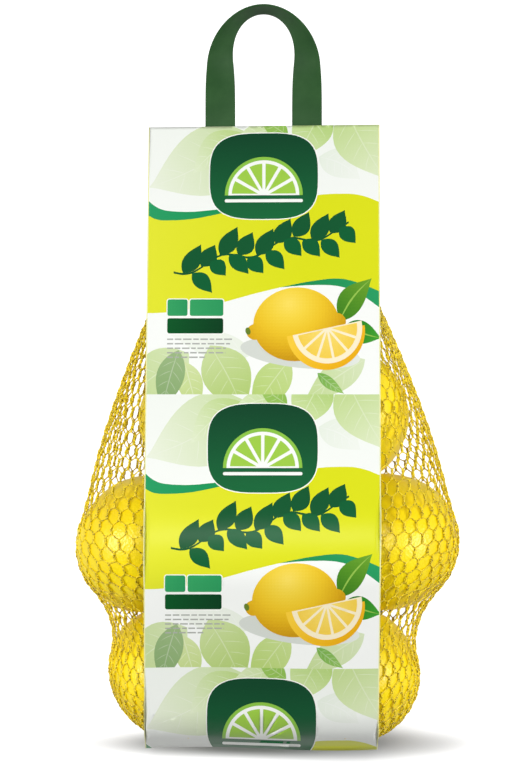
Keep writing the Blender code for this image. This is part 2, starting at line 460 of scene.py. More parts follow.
def make_stem(index, foot, axis, mat):
    """The little star-shaped button where the fruit was cut from its stalk."""
    side = axis.orthogonal().normalized()
    front = axis.cross(side)
    vertices = []
    for height, radius in STEM_RINGS:
        for turn in range(STEM_TURNS):
            angle = 2.0 * math.pi * turn / STEM_TURNS
            reach = radius * (1.0 + STEM_POINT_REACH * math.cos(STEM_POINTS * angle))
            way = side * math.cos(angle) + front * math.sin(angle)
            vertices.append(foot + axis * height + way * reach)
    faces = tube_faces(len(STEM_RINGS), STEM_TURNS)
    return mesh_object(f"lemon_stem_{index}", vertices, faces, mat)


# ---- net skin

def lemon_metrics():
    """Centre and shape matrix of the ellipsoid that the net wraps for each lemon."""
    metrics = []
    for x, y, rise, radius, half_length, heading, lift in LEMONS:
        axis = np.array(lemon_axis(heading, lift))
        across = (np.eye(3) - np.outer(axis, axis)) / (radius + NET_LIFT) ** 2
        along = np.outer(axis, axis) / (half_length + NET_LIFT) ** 2
        metrics.append((np.array([x, y, LEMON_FLOOR + rise]), across + along))
    return metrics


def press_out(points, metrics, in_plane):
    """Push the points that are inside a lemon out to its surface, keeping their y if in_plane."""
    for centre, shape in metrics:
        offset = points - centre
        inside = np.einsum("...i,ij,...j->...", offset, shape, offset) - 1.0
        near = inside < 0.0
        if not near.any():
            continue
        slope = 2.0 * offset[near] @ shape
        if in_plane:
            slope[:, 1] = 0.0
        length = np.maximum((slope ** 2).sum(axis=-1), 1.0)
        step = -inside[near][:, None] * slope / length[:, None]
        reach = np.linalg.norm(step, axis=-1, keepdims=True)
        points[near] += step * np.minimum(1.0, PRESS_STEP / np.maximum(reach, 1e-9))
    return points


def oval_ring(half_width, half_depth, height, y, columns):
    """One ring of points round the bag at a place y along it."""
    angle = np.linspace(0.0, 2.0 * math.pi, columns, endpoint=False)
    x = NET_CENTRE_X + half_width * np.cos(angle)
    z = height + half_depth * np.sin(angle)
    return np.stack([x, np.full(columns, y), z], axis=1)


def tighten(rings, metrics, passes):
    """Pull the net tight lengthwise and round the bag, with the lemons pushing it out."""
    y = rings[:, 0, 1]
    before = 1.0 / (y[1:-1] - y[:-2])
    after = 1.0 / (y[2:] - y[1:-1])
    weight = (before / (before + after))[:, None, None]
    loose = np.clip((y[1:-1] - HOOP_FADE[0]) / (HOOP_FADE[1] - HOOP_FADE[0]), 0.0, 1.0)[:, None, None]
    tension = HOOP_TENSION * (1.0 - loose)
    spread = SIDE_SPREAD * loose * np.array([1.0, 0.0, 0.0])
    for _ in range(passes):
        inner = rings[1:-1]
        along = weight * rings[:-2] + (1.0 - weight) * rings[2:]
        hoop = (np.roll(inner, 1, axis=1) + np.roll(inner, -1, axis=1)) / 2
        outward = inner - inner.mean(axis=1, keepdims=True)
        outward /= np.linalg.norm(outward, axis=2, keepdims=True)
        moved = (along + tension * hoop) / (1.0 + tension) + spread * outward
        moved[:, :, 1] = y[1:-1, None]
        rings[1:-1] = press_out(moved, metrics, True)
        rings[:, :, 2] = np.maximum(rings[:, :, 2], FILM + GAP)
    return rings


def net_skin():
    """Rings of points on the tight net, from the bottom seam to the neck."""
    columns = SKIN_COLUMNS
    share = np.linspace(0.0, 1.0, SKIN_ROWS)
    eased = EVEN_SHARE * share + (1.0 - EVEN_SHARE) * (0.5 - 0.5 * np.cos(math.pi * share))
    stations = SEAM_Y + (NECK_Y - SEAM_Y) * eased
    half_width, half_depth, height = START_SIZE
    rings = np.array([oval_ring(half_width, half_depth, height, y, columns) for y in stations])
    rings[0] = oval_ring(SEAM_HALF_WIDTH, END_HALF_DEPTH, SEAM_Z, SEAM_Y, columns)
    neck_z = FILM + GAP + NECK_HALF_DEPTH
    rings[-1] = oval_ring(NECK_HALF_WIDTH, NECK_HALF_DEPTH, neck_z, NECK_Y, columns)
    metrics = lemon_metrics()
    rings = tighten(rings, metrics, FIRST_PASSES)
    rings = refine(refine(rings, 0), 1)
    return tighten(rings, metrics, LAST_PASSES)


def refine(rings, axis):
    """Twice as many points along one axis of the grid, half way between their neighbours."""
    rings = np.moveaxis(rings, axis, 0)
    shape = (-1, *rings.shape[1:])
    if axis == 1:
        middle = (rings + np.roll(rings, -1, axis=0)) / 2
        fine = np.stack([rings, middle], axis=1).reshape(shape)
    else:
        middle = (rings[:-1] + rings[1:]) / 2
        fine = np.concatenate([np.stack([rings[:-1], middle], axis=1).reshape(shape), rings[-1:]])
    return np.moveaxis(fine, 0, axis)


class Skin:
    """Place and outward normal on the net's surface at a wale (0 to 1 round) and a course (0 to 1 along)."""

    def __init__(self, rings):
        self.rings = rings
        along = np.gradient(rings, axis=0)
        around = (np.roll(rings, -1, axis=1) - np.roll(rings, 1, axis=1)) / 2
        normal = np.cross(around, along)
        self.normals = normal / np.linalg.norm(normal, axis=2, keepdims=True)
        steps = np.linalg.norm(np.diff(rings, axis=0), axis=2)
        run = np.concatenate([np.zeros((1, rings.shape[1])), np.cumsum(steps, axis=0)])
        run = run / run[-1]
        even = np.linspace(0.0, 1.0, SKIN_LEVELS)
        self.rows = np.stack([
            np.interp(even, run[:, column], np.arange(rings.shape[0]))
            for column in range(rings.shape[1])
        ], axis=1)

    def sample(self, wale, course):
        columns = self.rings.shape[1]
        place = (wale % 1.0) * columns
        left = np.floor(place).astype(int) % columns
        right = (left + 1) % columns
        mix = place - np.floor(place)
        level = np.clip(course, 0.0, 1.0) * (self.rows.shape[0] - 1)
        low = np.minimum(np.floor(level).astype(int), self.rows.shape[0] - 2)
        part = level - low
        point = 0.0
        normal = 0.0
        for column, weight in ((left, 1.0 - mix), (right, mix)):
            row = self.rows[low, column] * (1.0 - part) + self.rows[low + 1, column] * part
            below = np.minimum(np.floor(row).astype(int), self.rings.shape[0] - 2)
            spot = (below, column, (row - below)[..., None])
            point = point + self.between_rings(self.rings, *spot) * weight[..., None]
            normal = normal + self.between_rings(self.normals, *spot) * weight[..., None]
        normal = normal / np.linalg.norm(normal, axis=-1, keepdims=True)
        return point, normal

    @staticmethod
    def between_rings(table, below, column, share):
        return table[below, column] * (1.0 - share) + table[below + 1, column] * share


# ---- net strands

def strand_pattern():
    """One strand's way through a row: side step, course step, twist and radius at each point."""
    points = []
    for step in range(STITCH_STEPS):
        share = step / (STITCH_STEPS - 1)
        points.append((0.0, STITCH_SHARE * share, 2.0 * math.pi * share, STITCH_RADIUS))
    for step in range(1, TRAVEL_STEPS + 1):
        share = step / (TRAVEL_STEPS + 1)
        points.append((share, STITCH_SHARE + (1.0 - STITCH_SHARE) * share, None, TRAVEL_RADIUS))
    return points


def strand_path(strand, pattern, wobble_side, wobble_along):
    """One strand from seam to neck: place round in strands, place along in rows, swing and radius."""
    strands = 2 * WALES
    wale, hand = strand // 2, 1 if strand % 2 else -1
    side, along, swing, radii = [], [], [], []
    for course in range(COURSES):
        shift = course % 2
        knot = 2 * wale + (hand if shift else 0)
        next_knot = 2 * wale + (0 if shift else hand)
        way = next_knot - knot
        at, next_at = (knot % strands, course), (next_knot % strands, course + 1)
        for step, rise, twist, radius in pattern:
            side.append(knot + way * step + wobble_side[at] * (1.0 - step) + wobble_side[next_at] * step)
            along.append(course + rise + wobble_along[at] * (1.0 - step) + wobble_along[next_at] * step)
            swing.append(-way * math.cos(twist) if twist is not None else 0.0)
            radii.append(radius)
    return side, along, swing, radii


def make_net(skin, mat):
    """The whole net, some strands to a piece."""
    pattern = strand_pattern()
    strands = 2 * WALES
    rng = np.random.default_rng(WOBBLE_SEED)
    wobble_side = rng.normal(0.0, WOBBLE_SIDE, (strands + 2, COURSES + 2))
    wobble_along = rng.normal(0.0, WOBBLE_ALONG, (strands + 2, COURSES + 2))
    per_piece = strands // NET_PIECES
    pieces = []
    for piece in range(NET_PIECES):
        own = range(piece * per_piece, (piece + 1) * per_piece)
        paths = np.array([strand_path(strand, pattern, wobble_side, wobble_along) for strand in own])
        side, along, swing, radii = (paths[:, part] for part in range(4))
        wale = side / strands
        course = (along + END_ROW) / (COURSES + 2.0 * END_ROW)
        pieces.append(net_piece(piece, skin, wale, course, swing, radii, mat))
    return pieces


def thread_frame(line, normal):
    """Directions along each thread and across it in the skin."""
    tangent = np.gradient(line, axis=1)
    tangent /= np.linalg.norm(tangent, axis=2, keepdims=True)
    across = np.cross(tangent, normal)
    across /= np.linalg.norm(across, axis=2, keepdims=True)
    return tangent, across


def net_piece(index, skin, wale, course, swing, radii, mat):
    """A mesh of strands that twist round each other in pairs and part between the knitted stretches."""
    middle, normal = skin.sample(wale, course)
    _, across = thread_frame(middle, normal)
    lift = np.sqrt(np.clip(1.0 - swing ** 2, 0.0, 1.0)) * (swing != 0.0)
    parity = np.where(np.arange(middle.shape[0]) % 2 == 0, 1.0, -1.0)[:, None]
    centre = middle + across * (swing * STITCH_SWING)[..., None]
    centre = centre + normal * (lift * parity * STITCH_SWING * TWIST_FLATNESS)[..., None]
    tangent, across = thread_frame(centre, normal)
    upward = np.cross(across, tangent)
    strands, length = wale.shape
    rings = []
    for side in range(THREAD_SIDES):
        angle = 2.0 * math.pi * (side + 0.5) / THREAD_SIDES
        rings.append(centre + (across * math.cos(angle) + upward * math.sin(angle)) * radii[..., None])
    vertices = np.stack(rings, axis=2).reshape(-1, 3)
    corners = length * THREAD_SIDES
    one = quad_grid_faces(length, THREAD_SIDES, True)
    faces = (one[None] + (np.arange(strands) * corners)[:, None, None]).reshape(-1, 4)
    caps = []
    for strand in range(strands):
        first = strand * corners
        last = first + corners - THREAD_SIDES
        caps.append(tuple(reversed(range(first, first + THREAD_SIDES))))
        caps.append(tuple(range(last, last + THREAD_SIDES)))
    every = np.concatenate([faces, np.array(caps)])
    return mesh_object(f"net_strands_{index}", vertices, [tuple(face) for face in every], mat)


# ---- band profile

def taut_line(points, side):
    """The tight line over the points (side 1) or under them (side -1)."""
    line = []
    for point in sorted(points):
        while len(line) >= 2:
            (y0, z0), (y1, z1) = line[-2], line[-1]
            turn = (y1 - y0) * (point[1] - z0) - (z1 - z0) * (point[0] - y0)
            if turn * side < 0.0:
                break
            line.pop()
        line.append(point)
    return np.array(line)


def front_line(rings):
    points = [(ring[0, 1], ring[:, 2].max() + THREAD_CLEARANCE) for ring in rings]
    points += [(BAND_BOTTOM_Y, FRONT_BOTTOM_Z), (BAND_TOP_Y, FRONT_TOP_Z)]
    return taut_line(points, 1)


def back_line(rings):
    points = [(ring[0, 1], max(ring[:, 2].min() - GAP, FILM)) for ring in rings]
    points += [(BAND_BOTTOM_Y, BACK_BOTTOM_Z), (BAND_TOP_Y, FILM)]
    return taut_line(points, -1)


def band_middle(y):
    share = (y - BAND_BOTTOM_Y) / (BAND_TOP_Y - BAND_BOTTOM_Y)
    return BAND_BOTTOM_X + (BAND_TOP_X - BAND_BOTTOM_X) * share


# ---- print
# Shapes are in millimetres: x from the band's middle line, y down from the top of a repeat.

def leaf_reach(share):
    """How far a leaf's edge is from its rib, 1 at the widest: round at the base, pointed at the tip."""
    return 4.31 * share ** 0.9 * (1.0 - share) ** 1.25


def arc_leaf(base, tip, width, bend=0.0, steps=14):
    """A pointed oval from base to tip, its middle bent sideways."""
    (x0, y0), (x1, y1) = base, tip
    length = math.hypot(x1 - x0, y1 - y0)
    along = ((x1 - x0) / length, (y1 - y0) / length)
    across = (-along[1], along[0])
    outline = []
    for side in (1.0, -1.0):
        for step in range(steps):
            share = step / steps if side > 0 else 1.0 - step / steps
            half = side * width / 2 * leaf_reach(share) + bend * math.sin(math.pi * share)
            outline.append((
                x0 + along[0] * length * share + across[0] * half,
                y0 + along[1] * length * share + across[1] * half,
            ))
    return outline


def oval(centre, half_width, half_height, tilt=0.0, steps=40, power=1.0, span=(0.0, 360.0)):
    outline = []
    tilt = math.radians(tilt)
    full = span[1] - span[0] >= 360.0
    for step in range(steps if full else steps + 1):
        angle = math.radians(span[0] + (span[1] - span[0]) * step / steps)
        c, s = math.cos(angle), math.sin(angle)
        x = half_width * math.copysign(abs(c) ** power, c)
        y = half_height * math.copysign(abs(s) ** power, s)
        outline.append((
            centre[0] + x * math.cos(tilt) - y * math.sin(tilt),
            centre[1] + x * math.sin(tilt) + y * math.cos(tilt),
        ))
    return outline


def round_box(left, top, right, bottom, corner):
    outline = []
    corners = ((right - corner, top + corner, -90), (right - corner, bottom - corner, 0),
               (left + corner, bottom - corner, 90), (left + corner, top + corner, 180))
    for x, y, start in corners:
        for step in range(5):
            angle = math.radians(start + 90 * step / 4)
            outline.append((x + corner * math.cos(angle), y + corner * math.sin(angle)))
    return outline


def smooth_curve(points, steps=8):
    """A smooth line through the points."""
    ends = [points[0]] + list(points) + [points[-1]]
    line = []
    for index in range(1, len(ends) - 2):
        p0, p1, p2, p3 = (np.array(ends[index + offset]) for offset in (-1, 0, 1, 2))
        square = 2 * p0 - 5 * p1 + 4 * p2 - p3
        cube = 3 * p1 - p0 - 3 * p2 + p3
        for step in range(steps):
            t = step / steps
            line.append(tuple(0.5 * (2 * p1 + (p2 - p0) * t + square * t ** 2 + cube * t ** 3)))
    line.append(tuple(float(v) for v in points[-1]))
    return line


# The lime field's edges, the green swoosh over it and the green strip under it
FIELD_TOP = ((-50.6, 38.0), (-46.8, 40.0), (-41.8, 40.5), (-31.9, 40.0), (-21.9, 38.2), (-11.9, 35.9),
             (5.0, 32.6), (20.8, 30.0), (26.7, 29.2), (33.9, 29.0), (39.3, 29.2), (44.7, 30.4), (50.6, 32.8))
FIELD_BOTTOM = ((-50.6, 81.2), (-42.3, 80.9), (-30.0, 79.2), (-17.5, 76.5), (-5.3, 73.1), (7.3, 70.0),
                (19.9, 67.4), (32.3, 66.1), (41.7, 68.1), (50.6, 71.8))
SWOOSH_TOP = ((-50.6, 31.4), (-46.8, 34.5), (-41.8, 36.2), (-31.8, 36.7), (-21.9, 35.9),
              (-14.2, 35.2), (-11.9, 35.9))
STRIP_BOTTOM = ((50.6, 79.0), (41.7, 72.8), (32.3, 69.4), (19.9, 69.0), (7.3, 70.0))

INK_WHITE = (250, 252, 246)
INK_GREEN = (42, 158, 100)
INK_DARK = (16, 88, 48)


def flat(colour):
    return lambda x, y: colour


def fade(colour_a, colour_b, start, end):
    """A colour that turns from one to the other between two places."""
    dx, dy = end[0] - start[0], end[1] - start[1]
    length = dx * dx + dy * dy
    def at(x, y):
        share = min(max(((x - start[0]) * dx + (y - start[1]) * dy) / length, 0.0), 1.0)
        return tuple(a + (b - a) * share for a, b in zip(colour_a, colour_b))
    return at


def fruit_shade(size, light, tones):
    """Shades of a painted fruit: lightest at the spot called light, darker away from it."""
    def at(x, y):
        reach = math.hypot((x - light[0]) / size[0], (y - light[1]) / size[1])
        share = min(reach, 1.0) * (len(tones) - 1)
        low = min(int(share), len(tones) - 2)
        part = share - low
        return tuple(a + (b - a) * part for a, b in zip(tones[low], tones[low + 1]))
    return at


def leaf_shapes(base, tip, width, bend, near, far):
    """A soft leaf with a middle rib and side veins, fading from one colour to the other."""
    blade = fade(near, far, base, tip)
    vein = fade(*(tuple(0.7 * value + 75.0 for value in tone) for tone in (near, far)), base, tip)
    shapes = [(arc_leaf(base, tip, width, bend), blade), (arc_leaf(base, tip, 0.5, bend), vein)]
    dx, dy = tip[0] - base[0], tip[1] - base[1]
    length = math.hypot(dx, dy)
    across = (-dy / length, dx / length)
    for share in (0.18, 0.34, 0.50, 0.66):
        lean = bend * math.sin(math.pi * share)
        root = tuple(base[i] + (dx, dy)[i] * share + across[i] * lean for i in range(2))
        reach = 0.42 * width * leaf_reach(share + 0.12)
        for side in (-1.0, 1.0):
            end = tuple(root[i] + (dx, dy)[i] * 0.15 + across[i] * side * reach for i in range(2))
            shapes.append((arc_leaf(root, end, 0.35, 0.3 * side, 4), vein))
    return shapes


def background_shapes():
    base = fade((243, 247, 240), (249, 251, 247), (0.0, 0.0), (0.0, 60.0))
    shapes = [([(-60, -5), (60, -5), (60, REPEAT + 5), (-60, REPEAT + 5)], base)]
    leaves = (
        ((-8.0, 2.5), (-50.0, 27.0), 30.0, -3.0, (204, 223, 168), (236, 242, 224)),
        ((-8.5, 3.5), (-31.0, 21.0), 15.0, 2.0, (186, 213, 132), (228, 238, 208)),
        ((-5.0, 19.0), (-18.0, 34.0), 11.0, 1.0, (226, 236, 208), (243, 247, 238)),
        ((24.0, 14.0), (42.0, 24.0), 13.0, -2.0, (232, 240, 226), (242, 246, 238)),
        ((7.0, 0.5), (-13.0, 6.5), 9.0, 0.5, (196, 220, 150), (222, 235, 196)),
        ((10.5, 4.5), (-2.0, -4.0), 8.0, 0.0, (142, 188, 82), (160, 200, 100)),
        ((27.0, -9.0), (14.5, 15.0), 18.0, 0.5, (166, 202, 102), (220, 234, 186)),
        ((35.0, -9.0), (53.0, 24.0), 23.0, 1.0, (188, 214, 134), (228, 238, 204)),
        ((-4.0, 100.0), (-40.0, 92.0), 12.0, 0.0, (234, 241, 226), (244, 247, 240)),
        ((-32.0, 100.0), (-58.0, 119.0), 19.0, 1.0, (214, 229, 182), (196, 217, 150)),
        ((-34.0, 103.5), (-28.0, 125.0), 11.0, 0.0, (214, 228, 170), (190, 213, 130)),
        ((-36.5, 98.5), (-43.5, 125.0), 12.0, 0.5, (158, 186, 132), (132, 166, 108)),
        ((-23.0, 96.5), (-8.0, 126.0), 21.0, -1.0, (206, 223, 164), (170, 200, 104)),
        ((11.5, 102.5), (-5.0, 126.0), 15.0, 0.5, (200, 221, 148), (178, 207, 108)),
        ((44.0, 102.5), (18.0, 120.0), 13.0, 0.5, (218, 231, 192), (196, 218, 150)),
        ((23.4, 108.4), (35.0, 117.4), 4.8, 0.3, (118, 174, 76), (150, 194, 100)),
    )
    for leaf in leaves:
        shapes += leaf_shapes(*leaf)
    return shapes


def field_shapes():
    """The lime field, with a green swoosh over it and a green strip under it."""
    top = smooth_curve(FIELD_TOP)
    bottom = smooth_curve(FIELD_BOTTOM)
    swoosh = smooth_curve(SWOOSH_TOP)
    halo = [(x, y - 0.55) for x, y in swoosh]
    swoosh_base = [point for point in reversed(top) if point[0] <= SWOOSH_TOP[-1][0]]
    strip_top = [point for point in bottom if point[0] >= STRIP_BOTTOM[-1][0]]
    return [
        (halo + swoosh_base, flat(INK_WHITE)),
        (swoosh + swoosh_base[1:], fade(INK_GREEN, (22, 148, 84), (-50.0, 0.0), (-12.0, 0.0))),
        (top + bottom[::-1], fade((229, 231, 52), (222, 226, 26), (-50.0, 40.0), (20.0, 50.0))),
        (strip_top + smooth_curve(STRIP_BOTTOM)[:-1],
         fade((25, 140, 80), (40, 158, 98), (10.0, 70.0), (50.0, 70.0))),
    ]


def wheel_segments(hub, half_width, half_height, first, margin, inner, steps):
    """Outlines of the segments of half a citrus wheel, each with the angle of its middle."""
    segments = 6
    for index in range(segments):
        start = first + 180.0 / segments * index + margin
        end = first + 180.0 / segments * (index + 1) - margin
        middle = math.radians((start + end) / 2)
        outline = oval(hub, half_width, half_height, span=(start, end), steps=steps)
        outline.append((hub[0] + inner * math.cos(middle), hub[1] + inner * math.sin(middle)))
        yield outline, middle


def badge_shapes():
    """A plain dark badge with half a citrus wheel."""
    centre = (0.0, 21.0)
    hub = (0.0, 29.5)
    rim = 17.0
    green = fade((14, 70, 42), (24, 104, 58), (0.0, 4.0), (0.0, 38.0))
    shapes = [
        (oval(centre, 24.0, 19.4, power=0.62, steps=56), flat(INK_WHITE)),
        (oval(centre, 23.6, 19.0, power=0.62, steps=56), green),
        (oval(hub, rim, rim, span=(180.0, 360.0), steps=36), flat((140, 196, 72))),
        (oval(hub, rim - 1.5, rim - 1.5, span=(180.0, 360.0), steps=36), flat(INK_WHITE)),
    ]
    for outline, _ in wheel_segments(hub, rim - 3.0, rim - 3.0, 180.0, 3.0, 2.6, 8):
        shapes.append((outline, flat((160, 206, 74))))
    shapes.append((round_box(-17.0, 31.2, 17.0, 32.6, 0.6), flat(INK_WHITE)))
    return shapes


def sprig_shapes():
    """A long sprig of leaves across the yellow field, where the pack's title would be."""
    shapes = []
    stem = [(-39.0 + 4.0 * step, 63.0 - 1.04 * step + 2.2 * math.sin(step * 0.9)) for step in range(20)]
    line = smooth_curve(stem, 3)
    band = line + [(x, y + 0.9) for x, y in reversed(line)]
    shapes.append((band, flat(INK_DARK)))
    for index in range(1, 19, 2):
        x, y = stem[index]
        reach = 11.0 + 1.6 * math.sin(index * 1.7)
        shapes.append((arc_leaf((x, y), (x + reach * 0.62, y - reach), 7.6, 0.6), flat(INK_DARK)))
        x, y = stem[index + 1]
        leaf = arc_leaf((x, y + 0.8), (x + reach * 0.7, y + reach * 0.74), 7.0, -0.6)
        shapes.append((leaf, flat((12, 96, 52))))
    return shapes


def panel_shapes():
    """Plain boxes, and rows of dashes of uneven length instead of small text."""
    shapes = []
    boxes = (
        (-41.5, 75.2, -32.8, 82.4, (54, 162, 98), (44, 152, 92)),
        (-31.8, 75.2, -17.3, 82.4, (54, 162, 98), (44, 152, 92)),
        (-41.5, 83.4, -17.3, 90.0, (6, 86, 38), (4, 62, 30)),
    )
    for left, top, right, bottom, near, far in boxes:
        shapes.append((round_box(left - 0.4, top - 0.4, right + 0.4, bottom + 0.4, 1.2), flat(INK_WHITE)))
        shapes.append((round_box(left, top, right, bottom, 0.9), fade(near, far, (left, 0.0), (right, 0.0))))
    start, row_pitch, height, gap = -41.5, 1.95, 0.62, 0.7
    for row, length in enumerate((28.0, 27.2, 25.4, 25.2, 16.6)):
        x, y = start, 92.2 + row_pitch * row
        dash = 2.6
        count = row
        while x < start + length:
            end = min(x + dash, start + length)
            shapes.append(([(x, y), (end, y), (end, y + height), (x, y + height)], flat((172, 176, 168))))
            count += 1
            dash = 2.0 + 1.7 * ((count * 7) % 5) / 4
            x = end + gap
    return shapes


def fruit_shapes():
    """A painted lemon with its shadow, a wedge and two leaves."""
    wide_shadow = fade((214, 219, 211), (230, 235, 226), (16.0, 98.0), (42.0, 100.0))
    near_shadow = fade((205, 210, 202), (226, 231, 222), (0.0, 98.0), (0.0, 108.0))
    shapes = [
        (oval((16.0, 98.5), 26.0, 6.4, tilt=6.0), wide_shadow),
        (oval((20.0, 100.0), 17.0, 4.4, tilt=8.0), near_shadow),
    ]
    leaves = (
        ((33.0, 84.5), (47.0, 66.0), 11.0, -1.5, (60, 128, 30), (110, 165, 45)),
        ((36.0, 86.0), (51.0, 92.0), 10.0, 1.0, (30, 120, 28), (70, 165, 50)),
    )
    for base, tip, width, bend, near, far in leaves:
        shapes.append((arc_leaf(base, tip, width, bend), fade(near, far, base, tip)))
        shapes.append((arc_leaf(base, tip, width * 0.07, bend), flat((150, 195, 80))))
    tones = ((253, 226, 100), (247, 214, 66), (240, 198, 40), (222, 172, 24), (190, 138, 14))
    shade = fruit_shade((30.0, 27.0), (11.0, 77.0), tones)
    peel = fade((250, 206, 60), (238, 176, 20), (16.0, 92.0), (30.0, 108.0))
    hub = (27.6, 87.6)
    tilt = 168.0
    shapes += [
        (oval((-3.6, 89.4), 3.6, 3.4), shade),
        (oval((-6.6, 89.0), 1.1, 1.6, tilt=-15.0), flat((104, 132, 44))),
        (oval((31.6, 84.6), 4.2, 3.6, tilt=12.0), shade),
        (oval((14.2, 86.0), 18.6, 16.0, tilt=-6.0, steps=48), shade),
        (oval((hub[0] - 0.6, hub[1] + 1.2), 17.0, 17.0, span=(tilt - 176.0, tilt + 4.0), steps=36), peel),
        (oval(hub, 15.2, 15.4, span=(tilt - 180.0, tilt), steps=36), flat((252, 240, 205))),
    ]
    for outline, middle in wheel_segments(hub, 13.0, 13.2, tilt - 180.0, 2.5, 1.8, 7):
        tip = (hub[0] + 13.0 * math.cos(middle), hub[1] + 13.0 * math.sin(middle))
        shapes.append((outline, fade((252, 226, 122), (246, 208, 78), hub, tip)))
    return shapes


def edge_shapes():
    """The unprinted edges of the film, where the yellow net shines through."""
    shapes = []
    for side in (-1.0, 1.0):
        inner, outer = side * 50.1, side * 51.0
        shapes.append(([(inner, 0.0), (outer, 0.0), (outer, REPEAT), (inner, REPEAT)], flat((244, 244, 178))))
    return shapes


def pictures():
    """The shapes that are printed over the background."""
    return field_shapes() + sprig_shapes() + badge_shapes() + panel_shapes() + fruit_shapes()


def clip_side(outline, limit, axis, keep_below):
    """The part of a polygon on one side of a straight line."""
    kept = []
    for index, point in enumerate(outline):
        last = outline[index - 1]
        inside = point[axis] <= limit if keep_below else point[axis] >= limit
        was_inside = last[axis] <= limit if keep_below else last[axis] >= limit
        if inside != was_inside:
            share = (limit - last[axis]) / (point[axis] - last[axis])
            kept.append(tuple(a + (b - a) * share for a, b in zip(last, point)))
        if inside:
            kept.append(tuple(point))
    return kept


def inside_polygon(points, outline):
    """Which of the points lie inside the outline."""
    found = np.zeros(len(points), bool)
    x, y = points[:, 0], points[:, 1]
    px, py = outline[-1]
    for qx, qy in outline:
        if qy != py:
            crosses = (qy > y) != (py > y)
            found ^= crosses & (x < (px - qx) * (y - qy) / (py - qy) + qx)
        px, py = qx, qy
    return found


def print_layers(length):
    """Every printed shape on a film of this length, lowest first: outline, colour, top of its repeat."""
    half = BAND_WIDTH / MM / 2
    layers = []
    for repeat in range(math.ceil(length / REPEAT)):
        top = repeat * REPEAT
        picture_top = PICTURE_START + repeat * PICTURE_REPEAT
        placed = [(shape, top) for shape in background_shapes()]
        placed += [(shape, picture_top) for shape in pictures()]
        placed += [(shape, top) for shape in edge_shapes()]
        for (outline, colour), origin in placed:
            moved = [(x, y + origin) for x, y in outline]
            for limit, axis, below in ((half, 0, True), (-half, 0, False), (top, 1, False),
                                       (min(top + REPEAT, length), 1, True)):
                moved = clip_side(moved, limit, axis, below) if moved else moved
            if len(moved) >= 3:
                layers.append(([(round(x, 3), round(y, 3)) for x, y in moved], colour, origin))
    return layers


def cut_film(layers, length):
    """The film's flat mesh, cut along every printed outline: points and triangles."""
    half = BAND_WIDTH / MM / 2
    points, edges = [], []
    for outline, _, _ in layers:
        first = len(points)
        points += outline
        count = len(outline)
        edges += [(first + index, first + (index + 1) % count) for index in range(count)]
    columns = round(2 * half / PRINT_GRID)
    rows = round(length / PRINT_GRID)
    for row in range(rows + 1):
        for column in range(columns + 1):
            points.append((-half + 2 * half * column / columns, length * row / rows))
    cut = delaunay_2d_cdt([Vector(point) for point in points], edges, [], 0, CUT_TOLERANCE)
    flat_points = np.array([tuple(point) for point in cut[0]])
    triangles = np.array([tuple(face) for face in cut[2]])
    corners = flat_points[triangles]
    sides = corners[:, 1:] - corners[:, :1]
    area = np.abs(sides[:, 0, 0] * sides[:, 1, 1] - sides[:, 0, 1] * sides[:, 1, 0]) / 2
    return flat_points, triangles[area > SLIVER]


def print_layout(length):
    """The band's flat print: points, triangles and the colour of each triangle's corners."""
    layers = print_layers(length)
    flat_points, triangles = cut_film(layers, length)
    centres = flat_points[triangles].mean(axis=1)
    owner = np.full(len(triangles), -1)
    for index, (outline, _, _) in enumerate(layers):
        low = np.min(outline, axis=0)
        high = np.max(outline, axis=0)
        near = np.nonzero(((centres >= low) & (centres <= high)).all(axis=1))[0]
        hit = near[inside_polygon(centres[near], outline)]
        owner[hit] = index
    colours = np.ones((len(triangles), 3, 4))
    for face, index in enumerate(owner):
        _, colour, origin = layers[max(index, 0)]
        for corner, vertex in enumerate(triangles[face]):
            x, y = flat_points[vertex]
            colours[face, corner, :3] = np.multiply(srgb(*colour(x, y - origin)), INK_STRENGTH)
    return flat_points, triangles, colours


def make_band(name, line, layout, upward, mats):
    """Lay the flat print on the band's line. The front shows its print upwards, the back downwards."""
    flat_points, triangles, colours = layout
    side = 1.0 if upward else -1.0
    across = flat_points[:, 0] * MM
    y = BAND_TOP_Y - flat_points[:, 1] * MM
    x = band_middle(y) + across * side
    share = np.clip((y - BAND_BOTTOM_Y) / (BAND_TOP_Y - BAND_BOTTOM_Y), 0.0, 1.0)
    y = y - END_WAVE * np.sin(x / END_WAVE_SPAN) * np.clip(1.0 - share / END_WAVE_SHARE, 0.0, 1.0)
    y = y + TOP_SLOPE * x * np.clip((share - (1.0 - TOP_SLOPE_SHARE)) / TOP_SLOPE_SHARE, 0.0, 1.0)
    z = np.interp(y, line[:, 0], line[:, 1])
    if upward:
        edge = (np.abs(across) / (BAND_WIDTH / 2)) ** 3
        z = z - edge * EDGE_DROOP * np.sin(math.pi * share)
        ripple = np.array([
            noise.noise(Vector((a * RIPPLE_ACROSS, b * RIPPLE_ALONG, 4.0))) for a, b in zip(across, y)
        ])
        z = z + ripple * RIPPLE_HEIGHT * np.sin(math.pi * share)
    place = np.stack([x, y, z], axis=1)
    faces = triangles if upward else triangles[:, ::-1]
    shades = colours if upward else colours[:, ::-1]
    band = mesh_object(name, place, [tuple(face) for face in faces], mats["film"], closed=False)
    if band.data.polygons[0].normal.z * side < 0.0:
        band.data.flip_normals()
        shades = shades[:, ::-1]
    ink = band.data.color_attributes.new("print", "FLOAT_COLOR", "CORNER")
    ink.data.foreach_set("color", shades.astype(np.float32).ravel())
    band.data.materials.append(mats["film_inside"])
    solid = band.modifiers.new("sheet", "SOLIDIFY")
    solid.thickness = SHEET
    solid.offset = -1.0
    solid.material_offset = 1
    return band


# ---- handle

